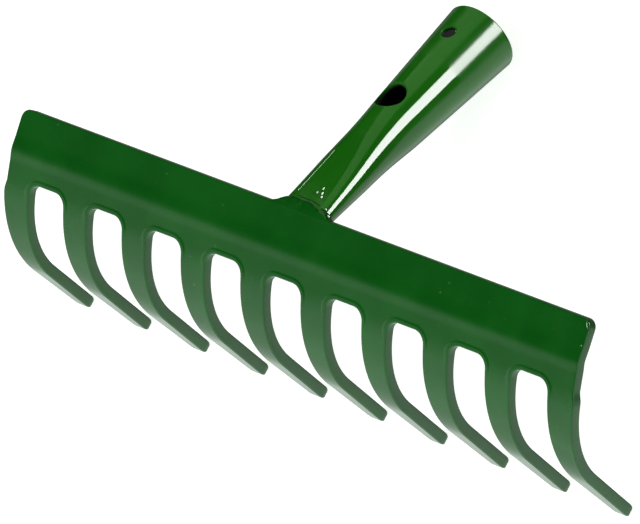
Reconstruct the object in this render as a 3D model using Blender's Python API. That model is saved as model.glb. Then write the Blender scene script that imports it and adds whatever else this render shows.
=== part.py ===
"""Steel garden rake head: a stamped ten-tooth comb with a rolled handle socket welded to its back.

Sizes are in metres. The pieces are modelled with X along the blade, Y towards the handle and Z up
the flat of the blade, with the origin at the blade's middle, level with the top of the gaps.
At the end the whole head is tipped so that it lies on the tooth tips and the rim of the socket.
"""

import math

import bmesh
import bpy
import numpy as np
from mathutils import Matrix, Vector

# Comb: flat strip with teeth
TOOTH_COUNT = 10
TOOTH_PITCH = 0.028
TOOTH_ROOT_WIDTH = 0.0119
TOOTH_TIP_WIDTH = 0.0053
OUTER_TOOTH_EXTRA = 0.0006
TIP_ROUNDING_LENGTH = 0.0055
STEEL_THICKNESS = 0.0044
EDGE_ROUNDING = 0.0007
GAP_CORNER_RADIUS = 0.0045
PLATE_END_INSET = 0.0006
PLATE_STEP_DROP = 0.0015
PLATE_STEP_LENGTH = 0.0035
PLATE_CORNER_RADIUS = 0.0035

# Comb: bends, with radii to the middle of the steel
PLATE_HEIGHT = 0.0093
BACK_BEND_RADIUS = 0.005
FLANGE_LEAN = math.radians(13.67)
FLANGE_HEIGHT = 0.01477
TOOTH_STRAIGHT_TOP = 0.0005
TOOTH_CURL_RADIUS = 0.0419
TOOTH_CURL_ANGLE = math.radians(59.5)
TOOTH_STRAIGHT_TIP = 0.0345

# Handle socket: a cone that is pressed flat towards the blade
SOCKET_RISE = math.radians(33.3)
SOCKET_LENGTH = 0.1016
SOCKET_MOUTH_DIAMETER = 0.0284
SOCKET_TAPER = 0.124
SOCKET_WALL = 0.0018
NECK_LENGTH = 0.050
NECK_WIDTH = 0.0212
NECK_THICKNESS = 0.0076
NECK_LIFT = 0.0005
SEAM_WIDTH = 0.0008
SEAM_DEPTH = 0.0005
SCREW_HOLE_DIAMETER = 0.0056
SCREW_HOLE_FROM_MOUTH = 0.0138
LARGE_HOLE_DIAMETER = 0.012
LARGE_HOLE_FROM_MOUTH = 0.0478

# Welds
WELD_BLUNTNESS = 3.2
WELD_OVERRUN = 0.0020
WELD_TOP_RADIUS = 0.0050
WELD_TOP_RISE = 0.0010
WELD_UNDER_SHORTFALL = 0.0010
WELD_UNDER_RADIUS = 0.0046

CLEARANCE = 0.0003

# Facets
CURL_STEPS = 12
BEND_STEPS = 3
STRAIGHT_STEPS = 3
TIP_STEPS = 5
CORNER_STEPS = 4
STATION_SNAP = 0.0001
SOCKET_SEGMENTS = 48
NECK_STEPS = 12
CUTTER_LENGTH = 0.02

tooth_length = TOOTH_STRAIGHT_TOP + TOOTH_CURL_RADIUS * TOOTH_CURL_ANGLE + TOOTH_STRAIGHT_TIP
back_bend_length = BACK_BEND_RADIUS * FLANGE_LEAN
strip_height = PLATE_HEIGHT + back_bend_length + FLANGE_HEIGHT
end_tooth_x = TOOTH_PITCH * (TOOTH_COUNT - 1) / 2


def clear_scene():
    for old in list(bpy.data.objects):
        bpy.data.objects.remove(old, do_unlink=True)


def make_collection(name):
    collection = bpy.data.collections.new(name)
    bpy.context.scene.collection.children.link(collection)
    return collection


def make_material(name, color, roughness, metallic):
    material = bpy.data.materials.new(name)
    material.use_nodes = True
    shader = material.node_tree.nodes["Principled BSDF"]
    shader.inputs["Base Color"].default_value = (*color, 1.0)
    shader.inputs["Roughness"].default_value = roughness
    shader.inputs["Metallic"].default_value = metallic
    return material


def add_object(name, mesh, collection, material=None):
    piece = bpy.data.objects.new(name, mesh)
    collection.objects.link(piece)
    if material:
        mesh.materials.append(material)
    return piece


def mesh_from_bmesh(name, bm):
    mesh = bpy.data.meshes.new(name)
    bm.to_mesh(mesh)
    bm.free()
    return mesh


def evaluated_mesh(piece):
    graph = bpy.context.evaluated_depsgraph_get()
    return bpy.data.meshes.new_from_object(piece.evaluated_get(graph))


def shade(piece, angle):
    piece.data.shade_smooth()
    piece.data.set_sharp_from_angle(angle=angle)


# The comb's middle line, seen from the blade's end


def blade_line(height):
    """Point and upward direction (as Y, Z) on the middle line, at a height measured along the flat strip."""
    if height >= 0:
        start = PLATE_HEIGHT
        radius = BACK_BEND_RADIUS
        full_angle = FLANGE_LEAN
        along = height
        up = 1
    else:
        start = TOOTH_STRAIGHT_TOP
        radius = TOOTH_CURL_RADIUS
        full_angle = TOOTH_CURL_ANGLE
        along = -height
        up = -1
    angle = min(max((along - start) / radius, 0.0), full_angle)
    rest = max(along - start - radius * full_angle, 0.0)
    y = radius * (1 - math.cos(angle)) + rest * math.sin(angle)
    z = min(along, start) + radius * math.sin(angle) + rest * math.cos(angle)
    return Vector((y, up * z)), Vector((up * math.sin(angle), math.cos(angle)))


def bend(x, height, front):
    """Place of a point of the flat strip, front being its distance out of the middle of the steel."""
    middle, upward = blade_line(height)
    backward = Vector((upward.y, -upward.x))
    y, z = middle - front * backward
    return Vector((x, y, z))


# The comb's flat outline


def tooth_half_width(down):
    share = min(max(down / tooth_length, 0.0), 1.0)
    root = TOOTH_ROOT_WIDTH / 2
    tip = TOOTH_TIP_WIDTH / 2
    width = root + (tip - root) * share
    into_tip = (down - tooth_length + TIP_ROUNDING_LENGTH) / TIP_ROUNDING_LENGTH
    if into_tip > 0:
        width *= math.sqrt(max(1 - into_tip**2, 0.0))
    return width


def curl_stations():
    """Distances down the strip at which the curl of the teeth is divided."""
    curl_length = TOOTH_CURL_RADIUS * TOOTH_CURL_ANGLE
    return [TOOTH_STRAIGHT_TOP + curl_length * step / CURL_STEPS for step in range(CURL_STEPS + 1)]


def tooth_side(start, extra=0.0):
    """(half width, height) down one side of a tooth, from start to the last point before the tip's end.

    The outer side of an end tooth stands out by extra at its root, and by nothing at its tip.
    """
    tip_start = tooth_length - TIP_ROUNDING_LENGTH
    curl = curl_stations()
    spacing = curl[1] - curl[0]
    downs = [start] + [down for down in curl if down > start + spacing / 2]
    straight = tip_start - downs[-1]
    downs += [downs[-1] + straight * step / STRAIGHT_STEPS for step in range(1, STRAIGHT_STEPS)]
    turns = [math.pi / 2 * step / TIP_STEPS for step in range(TIP_STEPS)]
    downs += [tip_start + TIP_ROUNDING_LENGTH * math.sin(turn) for turn in turns]
    return [(tooth_half_width(down) + extra * max(1 - down / tip_start, 0.0) ** 3, -down) for down in downs]


def arc(center, radius, start, end, steps):
    turns = [start + (end - start) * step / steps for step in range(steps + 1)]
    return [(center[0] + radius * math.cos(turn), center[1] + radius * math.sin(turn)) for turn in turns]


def comb_outline():
    """Flat outline, anticlockwise from the top left corner of the strip."""
    corner = PLATE_CORNER_RADIUS
    plate_end = end_tooth_x + TOOTH_ROOT_WIDTH / 2 - PLATE_END_INSET
    top_left = arc((-plate_end + corner, strip_height - corner), corner, math.pi / 2, math.pi, CORNER_STEPS)
    top_right = arc((plate_end - corner, strip_height - corner), corner, 0, math.pi / 2, CORNER_STEPS)
    outer_side = tooth_side(PLATE_STEP_DROP + PLATE_STEP_LENGTH, OUTER_TOOTH_EXTRA)
    inner_side = tooth_side(GAP_CORNER_RADIUS)
    tip = (0.0, -tooth_length)

    points = top_left + [(-plate_end, -PLATE_STEP_DROP)]
    for number in range(TOOTH_COUNT):
        middle = number * TOOTH_PITCH - end_tooth_x
        left = outer_side if number == 0 else inner_side
        right = outer_side if number == TOOTH_COUNT - 1 else inner_side
        points += [(middle - width, height) for width, height in left]
        points += [(middle, tip[1])]
        points += [(middle + width, height) for width, height in reversed(right)]
        if number < TOOTH_COUNT - 1:
            gap_half = TOOTH_PITCH / 2 - tooth_half_width(GAP_CORNER_RADIUS)
            gap_middle = middle + TOOTH_PITCH / 2
            inset = gap_half - GAP_CORNER_RADIUS
            low = -GAP_CORNER_RADIUS
            left_corner = arc((gap_middle - inset, low), GAP_CORNER_RADIUS, math.pi, math.pi / 2, CORNER_STEPS)
            right_corner = arc((gap_middle + inset, low), GAP_CORNER_RADIUS, math.pi / 2, 0, CORNER_STEPS)
            points += left_corner[1:] + right_corner[:-1]
    return points + [(plate_end, -PLATE_STEP_DROP)] + top_right


def flat_strip(points):
    curve = bpy.data.curves.new("comb_outline", "CURVE")
    curve.dimensions = "2D"
    curve.fill_mode = "BOTH"
    curve.extrude = STEEL_THICKNESS / 2 - EDGE_ROUNDING
    curve.bevel_depth = EDGE_ROUNDING
    curve.bevel_resolution = 1
    curve.offset = -EDGE_ROUNDING
    spline = curve.splines.new("POLY")
    spline.points.add(len(points) - 1)
    for point, (x, height) in zip(spline.points, points):
        point.co = (x, height, 0.0, 1.0)
    spline.use_cyclic_u = True
    return curve


def make_comb(collection, material):
    outline = add_object("comb_outline", flat_strip(comb_outline()), collection)
    bm = bmesh.new()
    bm.from_mesh(evaluated_mesh(outline))
    bpy.data.objects.remove(outline)
    bmesh.ops.remove_doubles(bm, verts=bm.verts, dist=1e-6)
    flats = [face for face in bm.faces if abs(face.normal.z) > 0.999]
    bmesh.ops.dissolve_faces(bm, faces=flats)
    bmesh.ops.triangulate(bm, faces=bm.faces)

    cuts = [PLATE_HEIGHT + back_bend_length * step / BEND_STEPS for step in range(BEND_STEPS + 1)]
    cuts += [-down for down in curl_stations()]
    for height in cuts:
        bmesh.ops.bisect_plane(
            bm,
            geom=bm.verts[:] + bm.edges[:] + bm.faces[:],
            plane_co=(0, height, 0),
            plane_no=(0, 1, 0),
            dist=STATION_SNAP,
        )
    for vert in bm.verts:
        vert.co = bend(vert.co.x, vert.co.y, vert.co.z)
    comb = add_object("comb_blade", mesh_from_bmesh("comb_blade", bm), collection, material)
    shade(comb, math.radians(50))
    return comb


# The handle socket


socket_direction = Vector((0, math.cos(SOCKET_RISE), math.sin(SOCKET_RISE)))
socket_up = Vector((0, -math.sin(SOCKET_RISE), math.cos(SOCKET_RISE)))
flange_top, flange_upward = blade_line(strip_height)
flange_backward = Vector((0, flange_upward.y, -flange_upward.x))
flange_up = Vector((0, flange_upward.x, flange_upward.y))
flange_back_corner = Vector((0, *flange_top)) + flange_backward * STEEL_THICKNESS / 2
neck_end = flange_back_corner + socket_direction * CLEARANCE


def smooth(share):
    share = min(max(share, 0.0), 1.0)
    return share * share * (3 - 2 * share)


def socket_section(along):
    """Half width, half thickness and lift of the socket at a distance from its neck end."""
    round_radius = SOCKET_MOUTH_DIAMETER / 2 - SOCKET_TAPER / 2 * (SOCKET_LENGTH - along)
    flatness = 1 - along / NECK_LENGTH
    if flatness <= 0:
        return round_radius, round_radius, 0.0
    blend = flatness**1.3
    round_at_neck = SOCKET_MOUTH_DIAMETER / 2 - SOCKET_TAPER / 2 * (SOCKET_LENGTH - NECK_LENGTH)
    half_width = max(round_radius, 0) + (NECK_WIDTH / 2 - round_radius) * smooth(1.6 * flatness)
    half_thickness = round_radius + (NECK_THICKNESS / 2 - round_radius) * blend
    return min(half_width, max(round_at_neck, NECK_WIDTH / 2)), half_thickness, NECK_LIFT * smooth(2 * flatness)


def ring(along, inset):
    """Points round the socket: two half circles joined by flats."""
    half_width, half_thickness, lift = socket_section(along)
    radius = half_thickness - inset
    shift = max(half_width - half_thickness, 0.0)
    outline = []
    for number in range(SOCKET_SEGMENTS):
        turn = 2 * math.pi * (number + 0.5) / SOCKET_SEGMENTS - math.pi / 2
        side = math.copysign(shift, math.cos(turn))
        outline.append((side + radius * math.cos(turn), radius * math.sin(turn)))
    center = neck_end + socket_direction * along + socket_up * lift
    return [center + Vector((x, 0, 0)) + socket_up * up for x, up in outline]


def seamed_ring(along, inset, seam_depth):
    """The same, with three more points at the bottom for the seam's notch."""
    points = ring(along, inset)
    bottom = (points[0] + points[-1]) / 2
    across = Vector((SEAM_WIDTH / 2, 0, 0))
    return points + [bottom - across, bottom + socket_up * seam_depth, bottom + across]


def loft(rings, closed):
    """Skin through rings of equal length: capped at both ends, or closed on itself like a pipe's wall."""
    bm = bmesh.new()
    rows = [[bm.verts.new(point) for point in points] for points in rings]
    pairs = list(zip(rows, rows[1:]))
    if closed:
        pairs.append((rows[-1], rows[0]))
    else:
        bm.faces.new(rows[0])
        bm.faces.new(rows[-1])
    for lower, upper in pairs:
        for a, b, c, d in zip(lower, lower[1:] + lower[:1], upper[1:] + upper[:1], upper):
            bm.faces.new((a, b, c, d))
    bmesh.ops.recalc_face_normals(bm, faces=bm.faces)
    return bm


def socket_stations():
    neck = [NECK_LENGTH * step / NECK_STEPS for step in range(NECK_STEPS + 1)]
    cone = [NECK_LENGTH + (SOCKET_LENGTH - NECK_LENGTH) * step / 4 for step in range(1, 5)]
    return neck + cone


def cutter(name, mesh, collection):
    tool = add_object(name, mesh, collection)
    tool.hide_render = True
    tool.display_type = "WIRE"
    return tool


def subtract(piece, tool):
    cut = piece.modifiers.new(tool.name, "BOOLEAN")
    cut.operation = "DIFFERENCE"
    cut.solver = "EXACT"
    cut.object = tool


def hole_cutter(name, diameter, from_mouth, collection):
    along = SOCKET_LENGTH - from_mouth
    bm = bmesh.new()
    bmesh.ops.create_cone(
        bm,
        cap_ends=True,
        segments=32,
        radius1=diameter / 2,
        radius2=diameter / 2,
        depth=CUTTER_LENGTH,
    )
    tool = cutter(name, mesh_from_bmesh(name, bm), collection)
    turn = Vector((0, 0, 1)).rotation_difference(socket_up)
    middle = neck_end + socket_direction * along + socket_up * CUTTER_LENGTH / 2
    tool.matrix_world = Matrix.Translation(middle) @ turn.to_matrix().to_4x4()
    return tool


def make_socket(collection, cutters, material):
    stations = socket_stations()
    outside = [seamed_ring(along, 0.0, SEAM_DEPTH) for along in stations]
    inside = [seamed_ring(along, SOCKET_WALL, 0.0) for along in reversed(stations)]
    mesh = mesh_from_bmesh("handle_socket", loft(outside + inside, closed=True))
    socket = add_object("handle_socket", mesh, collection, material)
    subtract(socket, hole_cutter("screw_hole", SCREW_HOLE_DIAMETER, SCREW_HOLE_FROM_MOUTH, cutters))
    subtract(socket, hole_cutter("large_hole", LARGE_HOLE_DIAMETER, LARGE_HOLE_FROM_MOUTH, cutters))
    shade(socket, math.radians(35))
    return socket


# Welds between the socket's neck and the comb


def neck_cutter(collection):
    """The neck with its clearance, solid, reaching a little past the blade."""
    stations = [NECK_LENGTH * step / NECK_STEPS for step in range(NECK_STEPS)]
    rings = [ring(along, -CLEARANCE) for along in stations]
    rings[0] = [point - socket_direction * CLEARANCE for point in rings[0]]
    return cutter("neck_space", mesh_from_bmesh("neck_space", loft(rings, closed=False)), collection)


def block_cutter(name, corner, outward, other, collection):
    """A large block that removes all that lies beyond a plane through corner, facing outward."""
    bm = bmesh.new()
    bmesh.ops.create_cube(bm, size=1.0)
    size = NECK_WIDTH * 4
    along = Vector((1, 0, 0))
    frame = Matrix((along * size, other * size, outward * size)).transposed().to_4x4()
    bmesh.ops.transform(bm, matrix=Matrix.Translation(corner + outward * size / 2) @ frame, verts=bm.verts)
    bmesh.ops.recalc_face_normals(bm, faces=bm.faces)
    return cutter(name, mesh_from_bmesh(name, bm), collection)


def weld_mound(name, center, half_length, radius, collection, material):
    """A long bead with blunt ends."""
    bm = bmesh.new()
    bmesh.ops.create_uvsphere(bm, u_segments=24, v_segments=16, radius=1.0)
    for vert in bm.verts:
        round_share = math.hypot(vert.co.x, vert.co.y)
        if round_share > 0.001:
            blunt_share = (1 - abs(vert.co.z) ** WELD_BLUNTNESS) ** (1 / WELD_BLUNTNESS)
            vert.co.x *= blunt_share / round_share
            vert.co.y *= blunt_share / round_share
    lengthwise = Matrix.Rotation(math.pi / 2, 4, "Y")
    shape = Matrix.Translation(center) @ Matrix.Diagonal((half_length, radius, radius, 1)) @ lengthwise
    bmesh.ops.transform(bm, matrix=shape, verts=bm.verts)
    return add_object(name, mesh_from_bmesh(name, bm), collection, material)


def make_welds(collection, cutters, material):
    neck_space = neck_cutter(cutters)
    top_seat = flange_back_corner + flange_up * CLEARANCE
    back_seat = flange_back_corner + flange_backward * CLEARANCE
    below_top = block_cutter("below_top_edge", top_seat, -flange_up, flange_backward, cutters)
    before_back = block_cutter("before_back_face", back_seat, -flange_backward, flange_up, cutters)
    under_neck = block_cutter("under_neck", neck_end, -socket_up, socket_direction, cutters)
    over_neck = block_cutter("over_neck", neck_end - socket_up * CLEARANCE, socket_up, socket_direction, cutters)

    half_length = NECK_WIDTH / 2 + WELD_OVERRUN
    center = flange_back_corner + flange_up * WELD_TOP_RISE
    center += flange_backward * (WELD_TOP_RADIUS - STEEL_THICKNESS)
    top = weld_mound("weld_bead_top", center, half_length, WELD_TOP_RADIUS, collection, material)
    for tool in (neck_space, below_top, under_neck):
        subtract(top, tool)
    shade(top, math.radians(50))

    center = neck_end - socket_up * NECK_THICKNESS / 2
    half_length = NECK_WIDTH / 2 - WELD_UNDER_SHORTFALL
    under = weld_mound("weld_bead_under", center, half_length, WELD_UNDER_RADIUS, collection, material)
    for tool in (neck_space, before_back, over_neck):
        subtract(under, tool)
    shade(under, math.radians(50))
    return top, under


# The way the head lies


def rest_tilt(blade_points, socket_points):
    """Turn about X that brings the tooth tips and the socket's rim down to one level."""
    tilt = -math.radians(68)
    for _ in range(6):
        down = np.array((math.sin(tilt), math.cos(tilt)))
        tip = blade_points[np.argmin(blade_points @ down)]
        rim = socket_points[np.argmin(socket_points @ down)]
        tilt = -math.atan2(rim[1] - tip[1], rim[0] - tip[0])
    return tilt


def side_points(piece):
    mesh = evaluated_mesh(piece)
    points = np.array([(vert.co.y, vert.co.z) for vert in mesh.vertices])
    bpy.data.meshes.remove(mesh)
    return points


def lay_down(pieces, comb, socket, collection):
    blade_points = side_points(comb)
    socket_points = side_points(socket)
    tilt = rest_tilt(blade_points, socket_points)
    turn = np.array(((math.cos(tilt), math.sin(tilt)), (-math.sin(tilt), math.cos(tilt))))
    turned = np.vstack((blade_points, socket_points)) @ turn
    low = turned.min(axis=0)
    high = turned.max(axis=0)
    rest = bpy.data.objects.new("rest_position", None)
    collection.objects.link(rest)
    rest.rotation_euler.x = tilt
    rest.location = (0.0, -(low[0] + high[0]) / 2, -low[1])
    for piece in pieces:
        piece.parent = rest


def main():
    clear_scene()
    rake = make_collection("garden_rake_head")
    cutters = make_collection("cutters")
    enamel = make_material("comb_enamel", (0.020, 0.130, 0.030), 0.25, 0.0)
    socket_enamel = make_material("socket_enamel", (0.022, 0.140, 0.032), 0.22, 0.0)
    weld_enamel = make_material("weld_enamel", (0.018, 0.120, 0.028), 0.30, 0.0)

    comb = make_comb(rake, enamel)
    socket = make_socket(rake, cutters, socket_enamel)
    top, under = make_welds(rake, cutters, weld_enamel)
    pieces = [comb, socket, top, under, *cutters.objects]
    lay_down(pieces, comb, socket, rake)


main()
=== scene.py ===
import math

import bpy
from mathutils import Matrix, Vector, noise


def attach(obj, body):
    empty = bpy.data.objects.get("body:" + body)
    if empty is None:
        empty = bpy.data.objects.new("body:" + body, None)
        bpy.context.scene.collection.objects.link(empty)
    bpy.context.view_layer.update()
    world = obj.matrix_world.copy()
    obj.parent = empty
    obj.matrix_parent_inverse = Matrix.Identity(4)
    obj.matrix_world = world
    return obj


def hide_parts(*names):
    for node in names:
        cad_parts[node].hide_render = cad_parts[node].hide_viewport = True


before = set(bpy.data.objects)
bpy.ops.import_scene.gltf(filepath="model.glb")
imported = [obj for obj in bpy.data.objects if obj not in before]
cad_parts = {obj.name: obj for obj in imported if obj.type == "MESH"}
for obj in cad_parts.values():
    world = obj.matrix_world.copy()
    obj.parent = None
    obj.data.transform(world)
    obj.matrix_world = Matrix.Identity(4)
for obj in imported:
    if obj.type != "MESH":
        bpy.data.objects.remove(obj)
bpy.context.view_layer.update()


# Camera, at the photograph's angle

cameraSettings = {
    "place": (1.98237, -0.12609, 2.86014),
    "turnDegrees": (16.081, 31.8074, 25.9218),
    "lens": 544.97,
    "sensorWidth": 36.0,
    "clipEnd": 40.0,
}


def placeCamera(settings):
    data = bpy.data.cameras.new("camera")
    data.lens = settings["lens"]
    data.sensor_width = settings["sensorWidth"]
    data.clip_end = settings["clipEnd"]
    camera = bpy.data.objects.new("camera", data)
    camera.location = settings["place"]
    camera.rotation_euler = [math.radians(turn) for turn in settings["turnDegrees"]]
    bpy.context.scene.collection.objects.link(camera)
    bpy.context.scene.camera = camera


placeCamera(cameraSettings)
bpy.context.scene.view_settings.view_transform = "Standard"
print("camera placed")


# Node helpers

class Wire:
    # a node's output that takes part in Python expressions
    def __init__(self, graph, socket):
        self.graph = graph
        self.socket = socket

    def __add__(self, other):
        return self.graph.maths("ADD", self, other)

    def __radd__(self, other):
        return self.graph.maths("ADD", other, self)

    def __sub__(self, other):
        return self.graph.maths("SUBTRACT", self, other)

    def __rsub__(self, other):
        return self.graph.maths("SUBTRACT", other, self)

    def __mul__(self, other):
        return self.graph.maths("MULTIPLY", self, other)

    def __rmul__(self, other):
        return self.graph.maths("MULTIPLY", other, self)

    def __truediv__(self, other):
        return self.graph.maths("DIVIDE", self, other)

    def __pow__(self, other):
        return self.graph.maths("POWER", self, other)


class Graph:
    def __init__(self, tree):
        self.tree = tree

    def node(self, kind, settings=None, inputs=None, output=0):
        # settings come first, because they can change the sockets
        made = self.tree.nodes.new(kind)
        for name, value in (settings or {}).items():
            setattr(made, name, value)
        for key, value in (inputs or {}).items():
            for part in value if isinstance(value, list) else [value]:
                if isinstance(part, Wire):
                    self.tree.links.new(part.socket, made.inputs[key])
                else:
                    made.inputs[key].default_value = part
        return Wire(self, made.outputs[output]) if len(made.outputs) else None

    def maths(self, operation, *values):
        return self.node("ShaderNodeMath", {"operation": operation}, dict(enumerate(values)))

    def clamp(self, value, low, high):
        return self.maths("MINIMUM", self.maths("MAXIMUM", value, low), high)

    def mixColour(self, factor, first, second):
        return self.node("ShaderNodeMix", {"data_type": "RGBA"}, {0: factor, 6: first, 7: second}, output=2)

    def ramp(self, value, low, high):
        # 0 below low, 1 above high, smooth between
        return self.node("ShaderNodeMapRange", {"interpolation_type": "SMOOTHSTEP"},
                         {0: value, 1: low, 2: high, 3: 0.0, 4: 1.0})

    def split(self, vector):
        first = self.node("ShaderNodeSeparateXYZ", None, {0: vector})
        return [Wire(self, part) for part in first.socket.node.outputs]

    def join(self, x, y=0.0, z=0.0):
        return self.node("ShaderNodeCombineXYZ", None, {0: x, 1: y, 2: z})


# Enamel: green paint over steel, with orange peel, runs and dust in it

# detail of each noise pattern, and a shift that keeps it apart from the others
paintNoise = {
    "tone": (4.0, (0.0, 0.0, 0.0)),
    "thin": (3.0, (0.3, 0.1, 0.7)),
    "patch": (1.0, (1.7, 0.4, 0.2)),
    "lump": (2.0, (0.6, 0.2, 0.1)),
    "peel": (1.5, (0.0, 0.0, 0.0)),
    "wave": (1.0, (0.2, 0.9, 0.4)),
}


def enamel(name, look):
    material = bpy.data.materials.new(name)
    material.use_nodes = True
    graph = Graph(material.node_tree)
    shader = material.node_tree.nodes["Principled BSDF"]
    place = graph.node("ShaderNodeTexCoord", output=3)
    normal = graph.node("ShaderNodeTexCoord", output=1)

    def cloud(kind):
        detail, shift = paintNoise[kind]
        moved = graph.node("ShaderNodeMapping", None, {0: place, 1: shift})
        return graph.node("ShaderNodeTexNoise", None, {
            "Vector": moved, "Scale": look[kind + "Scale"], "Detail": detail})

    def mark(label):
        return graph.node("ShaderNodeAttribute", {"attribute_name": label}, output=2)

    def fromMiddle(vector):
        return graph.maths("ABSOLUTE", graph.split(vector)[0])

    tone = graph.ramp(cloud("tone"), *look["toneRange"])
    thin = graph.ramp(cloud("thin"), *look["thinRange"])
    colour = graph.mixColour(tone, (*look["deep"], 1.0), (*look["light"], 1.0))
    colour = graph.mixColour(thin * look["thinAmount"], colour, (*look["thin"], 1.0))

    cells = graph.node("ShaderNodeTexVoronoi", {"feature": "F1"},
                       {"Vector": place, "Scale": look["dustScale"]})
    dust = (1.0 - graph.ramp(cells, *look["dustRange"])) * graph.ramp(cloud("patch"), *look["patchRange"])
    colour = graph.mixColour(dust * look["dustTint"], colour, (*look["dustColour"], 1.0))
    inside = mark("inside")
    mouthward = mark("mouthward")
    # painted shade: the socket's inside is darkened nearly to black
    colour = graph.mixColour(inside, colour, (*look["inside"], 1.0))
    material.node_tree.links.new(colour.socket, shader.inputs["Base Color"])

    edges = graph.ramp(fromMiddle(normal), *look["edgeRange"]) * look["edgeRoughness"]
    roughness = (edges + look["roughness"] + tone * look["toneRoughness"] + dust * look["dustRoughness"]
                 + inside * look["insideRoughness"] + mouthward * look["mouthRoughness"])
    material.node_tree.links.new(roughness.socket, shader.inputs["Roughness"])

    lumps = graph.ramp(fromMiddle(place), *look["lumpStart"]) * graph.ramp(cloud("lump"), *look["lumpRange"])
    height = (cloud("peel") * look["peelHeight"] + cloud("wave") * look["waveHeight"]
              + dust * look["dustHeight"] + lumps * look["lumpHeight"])
    bump = graph.node("ShaderNodeBump", None, {"Strength": 1.0, "Distance": 1.0, "Height": height})
    material.node_tree.links.new(bump.socket, shader.inputs["Normal"])
    shader.inputs["Specular IOR Level"].default_value = look["gloss"]
    return material


combLook = {
    "deep": (0.0042, 0.079, 0.0072),
    "light": (0.0062, 0.095, 0.0096),
    "toneScale": 38.0,
    "toneRange": (0.32, 0.68),
    "toneRoughness": 0.03,
    "thin": (0.012, 0.108, 0.015),
    "thinScale": 70.0,
    "thinRange": (0.50, 0.74),
    "thinAmount": 0.35,
    # grains of dust, which lie in patches
    "dustColour": (0.10, 0.24, 0.10),
    "dustScale": 210.0,
    "dustRange": (0.02, 0.14),
    "dustTint": 0.30,
    "dustHeight": 0.00006,
    "dustRoughness": 0.25,
    "patchScale": 65.1,
    "patchRange": (0.56, 0.66),
    "roughness": 0.06,
    # more roughness on the punched edges
    "edgeRoughness": 0.30,
    "edgeRange": (0.6, 0.9),
    "peelScale": 420.0,
    "peelHeight": 0.000012,
    "waveScale": 60.0,
    "waveHeight": 0.00010,
    "gloss": 0.38,
    # lumps of thick paint near the comb's ends: where they start, their size and height
    "lumpStart": (0.1235, 0.1335),
    "lumpScale": 330.0,
    "lumpRange": (0.40, 0.72),
    "lumpHeight": 0.00004,
    # the socket's inside, coloured near black as painted shade in the hollow, and the half next to its mouth
    "inside": (0.002, 0.002, 0.002),
    "insideRoughness": 0.7,
    "mouthRoughness": 0.13,
}
# The socket's green is a lighter copy of the comb's enamel: painted light, for the stronger light that falls
# on the socket than on the blade.
socketLitLook = {
    **combLook,
    "deep": (0.0155, 0.146, 0.0085),
    "light": (0.020, 0.168, 0.011),
    "thin": (0.026, 0.172, 0.018),
    "roughness": 0.04,
    "edgeRoughness": 0.0,
    "lumpHeight": 0.0,
}
weldLook = {
    **combLook,
    "edgeRoughness": 0.0,
    "waveScale": 180.0,
    "waveHeight": 0.00016,
    "lumpHeight": 0.0,
}

combEnamel = enamel("combEnamel", combLook)
# lighter copy of the comb's enamel: painted light on the socket
socketEnamel = enamel("socketEnamel", socketLitLook)
weldEnamel = enamel("weldEnamel", weldLook)
print("enamels mixed")


# Where the head's own drawing axes lie on the floor

lie = {
    "tiltDegrees": -68.56529,
    "shiftY": -0.041049,
    "shiftZ": 0.066888,
}


def layDown(point):
    turn = math.radians(lie["tiltDegrees"])
    x, y, z = point
    return Vector((x,
                   y * math.cos(turn) - z * math.sin(turn) + lie["shiftY"],
                   y * math.sin(turn) + z * math.cos(turn) + lie["shiftZ"]))


# Mesh helpers

def smooth(share):
    share = min(max(share, 0.0), 1.0)
    return share * share * (3 - 2 * share)


def spread(start, end, steps):
    return [start + (end - start) * step / steps for step in range(steps + 1)]


def quarter(steps):
    return spread(0, math.pi / 2, steps)


def between(start, end, share):
    return tuple(a + (b - a) * share for a, b in zip(start, end))


def patch(rows):
    # quads of a grid of points
    return [face for lower, upper in zip(rows, rows[1:])
            for face in zip(lower, lower[1:], upper[1:], upper)]


def loopFaces(first, second):
    # quads between two closed loops of points
    return list(zip(first, first[1:] + first[:1], second[1:] + second[:1], second))


def shell(loops):
    return [face for before, after in zip(loops, loops[1:]) for face in loopFaces(after, before)]


def closedLump(sizes, axes, detail, place):
    # rounded lump with its own three axes; place turns a way from its middle into a point
    rings, columns = detail
    loops = []
    for turn in spread(0, math.pi, rings):
        loop = []
        for around in spread(0, 2 * math.pi, columns)[:-1]:
            local = (math.sin(turn) * math.cos(around), math.sin(turn) * math.sin(around), math.cos(turn))
            offset = sum((axis * size * value for axis, size, value in zip(axes, sizes, local)), Vector())
            loop.append(tuple(place(offset)))
        loops.append(loop)
    return shell(loops)


def meshFromFaces(name, faces, marks=None):
    # corners at one place, to a ten thousandth of a millimetre, share a vertex
    perMetre = 1e7
    places = {}
    polygons = []
    kept = []
    for number, face in enumerate(faces):
        corners = []
        for point in face:
            key = tuple(round(value * perMetre) for value in point)
            index = places.setdefault(key, (len(places), point))[0]
            if index not in corners:
                corners.append(index)
        if len(corners) > 2:
            polygons.append(corners)
            kept.append(number)
    mesh = bpy.data.meshes.new(name)
    mesh.from_pydata([point for _, point in places.values()], [], polygons)
    if marks:
        flag = mesh.attributes.new("unit", "INT", "FACE")
        for index, number in enumerate(kept):
            flag.data[index].value = marks[number]
    mesh.update()
    return mesh


def addPiece(name, mesh):
    piece = bpy.data.objects.new(name, mesh)
    bpy.context.scene.collection.objects.link(piece)
    return piece


# Comb: one flat gap and two flat ends are drawn, then repeated and bent by a node tree

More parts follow.
